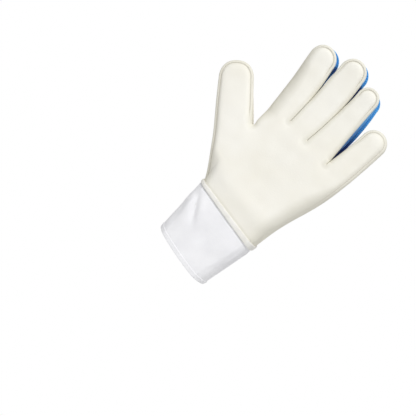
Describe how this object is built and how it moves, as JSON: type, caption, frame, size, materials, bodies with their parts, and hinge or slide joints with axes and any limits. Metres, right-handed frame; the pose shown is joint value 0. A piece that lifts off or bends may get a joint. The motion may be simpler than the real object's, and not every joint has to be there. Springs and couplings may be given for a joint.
{
  "type": "goalkeeper glove",
  "caption": "Left-hand goalkeeper glove with a flat-cut latex palm, side gussets, padded back, elastic cuff and a hook-and-loop wrist strap.",
  "frame": {"origin": "centre of the wrist opening, where the arm goes in", "axes": "+Z from the wrist to the fingertips, the palm looks along -Y, +X from the thumb to the little finger"},
  "size_m": [0.1767, 0.0524, 0.2701],
  "materials": {
    "palm_latex": "matt smooth latex foam",
    "back_fabric": "matt knit over foam",
    "gusset_knit": "fine stretch knit",
    "lining": "brushed tricot",
    "cuff_neoprene": "smooth jersey over neoprene",
    "binding_tape": "woven tape",
    "strap_elastic": "woven elastic",
    "loop_pile": "brushed loop pile",
    "hook_tape": "moulded hooks",
    "tab_rubber": "moulded matt",
    "label_satin": "satin ribbon"
  },
  "bodies": {
    "hand": {"back_lining": "lining", "back_panel": "back_fabric", "care_label": "label_satin", "cuff_back": "cuff_neoprene", "cuff_front": "cuff_neoprene", "finger_webs": "gusset_knit", "index_side_wall": "gusset_knit", "little_side_wall": "gusset_knit", "loop_panel": "loop_pile", "palm_face": "palm_latex", "palm_lining": "lining", "rim_binding": "binding_tape", "seam_welt": "binding_tape", "strap_anchor": "strap_elastic", "thumb_side_wall": "gusset_knit"},
    "strap": {"hook_patch": "hook_tape", "pull_tab": "tab_rubber", "wrist_strap": "strap_elastic"},
    "index_lower": {"index_lower_back": "back_fabric", "index_lower_face": "palm_latex", "index_lower_gusset_little_side": "gusset_knit", "index_lower_gusset_thumb_side": "gusset_knit"},
    "index_upper": {"index_upper_back": "back_fabric", "index_upper_face": "palm_latex", "index_upper_gusset_little_side": "gusset_knit", "index_upper_gusset_thumb_side": "gusset_knit"},
    "little_lower": {"little_lower_back": "back_fabric", "little_lower_face": "palm_latex", "little_lower_gusset_little_side": "gusset_knit", "little_lower_gusset_thumb_side": "gusset_knit"},
    "little_upper": {"little_upper_back": "back_fabric", "little_upper_face": "palm_latex", "little_upper_gusset_little_side": "gusset_knit", "little_upper_gusset_thumb_side": "gusset_knit"},
    "middle_lower": {"middle_lower_back": "back_fabric", "middle_lower_face": "palm_latex", "middle_lower_gusset_little_side": "gusset_knit", "middle_lower_gusset_thumb_side": "gusset_knit"},
    "middle_upper": {"middle_upper_back": "back_fabric", "middle_upper_face": "palm_latex", "middle_upper_gusset_little_side": "gusset_knit", "middle_upper_gusset_thumb_side": "gusset_knit"},
    "ring_lower": {"ring_lower_back": "back_fabric", "ring_lower_face": "palm_latex", "ring_lower_gusset_little_side": "gusset_knit", "ring_lower_gusset_thumb_side": "gusset_knit"},
    "ring_upper": {"ring_upper_back": "back_fabric", "ring_upper_face": "palm_latex", "ring_upper_gusset_little_side": "gusset_knit", "ring_upper_gusset_thumb_side": "gusset_knit"},
    "thumb_lower": {"thumb_lower_back": "back_fabric", "thumb_lower_face": "palm_latex", "thumb_lower_gusset_inner": "gusset_knit", "thumb_lower_gusset_outer": "gusset_knit"},
    "thumb_upper": {"thumb_upper_back": "back_fabric", "thumb_upper_face": "palm_latex", "thumb_upper_gusset_inner": "gusset_knit", "thumb_upper_gusset_outer": "gusset_knit"}
  },
  "joints": [
    {"name": "index_base_fold", "type": "hinge", "parent": "hand", "child": "index_lower", "pos_m": [-0.0305, -0.021, 0.176], "axis": [1, 0, 0], "range_deg": [0, 70], "stiffness_Nm_per_rad": 0.03},
    {"name": "index_middle_fold", "type": "hinge", "parent": "index_lower", "child": "index_upper", "pos_m": [-0.0346, -0.021, 0.212], "axis": [1, 0, 0], "range_deg": [0, 80], "stiffness_Nm_per_rad": 0.02},
    {"name": "middle_base_fold", "type": "hinge", "parent": "hand", "child": "middle_lower", "pos_m": [-0.00425, -0.021, 0.176], "axis": [1, 0, 0], "range_deg": [0, 70], "stiffness_Nm_per_rad": 0.03},
    {"name": "middle_middle_fold", "type": "hinge", "parent": "middle_lower", "child": "middle_upper", "pos_m": [-0.00549, -0.021, 0.217], "axis": [1, 0, 0], "range_deg": [0, 80], "stiffness_Nm_per_rad": 0.02},
    {"name": "ring_base_fold", "type": "hinge", "parent": "hand", "child": "ring_lower", "pos_m": [0.02375, -0.021, 0.174], "axis": [1, 0, 0], "range_deg": [0, 70], "stiffness_Nm_per_rad": 0.03},
    {"name": "ring_middle_fold", "type": "hinge", "parent": "ring_lower", "child": "ring_upper", "pos_m": [0.02416, -0.021, 0.211], "axis": [1, 0, 0], "range_deg": [0, 80], "stiffness_Nm_per_rad": 0.02},
    {"name": "little_base_fold", "type": "hinge", "parent": "hand", "child": "little_lower", "pos_m": [0.0544, -0.021, 0.171], "axis": [1, 0, 0], "range_deg": [0, 70], "stiffness_Nm_per_rad": 0.03},
    {"name": "little_middle_fold", "type": "hinge", "parent": "little_lower", "child": "little_upper", "pos_m": [0.0562, -0.021, 0.198], "axis": [1, 0, 0], "range_deg": [0, 80], "stiffness_Nm_per_rad": 0.02},
    {"name": "thumb_base_fold", "type": "hinge", "parent": "hand", "child": "thumb_lower", "pos_m": [-0.05576, -0.021, 0.1301], "axis": [0.753, 0, 0.658], "range_deg": [0, 45], "stiffness_Nm_per_rad": 0.03},
    {"name": "thumb_middle_fold", "type": "hinge", "parent": "thumb_lower", "child": "thumb_upper", "pos_m": [-0.07813, -0.021, 0.1557], "axis": [0.753, 0, 0.658], "range_deg": [0, 60], "stiffness_Nm_per_rad": 0.02},
    {"name": "strap_fold", "type": "hinge", "parent": "hand", "child": "strap", "pos_m": [0.03306, 0.02426, 0.02818], "axis": [-0.0488, -0.038, -0.9981], "range_deg": [0, 120]}
  ]
}
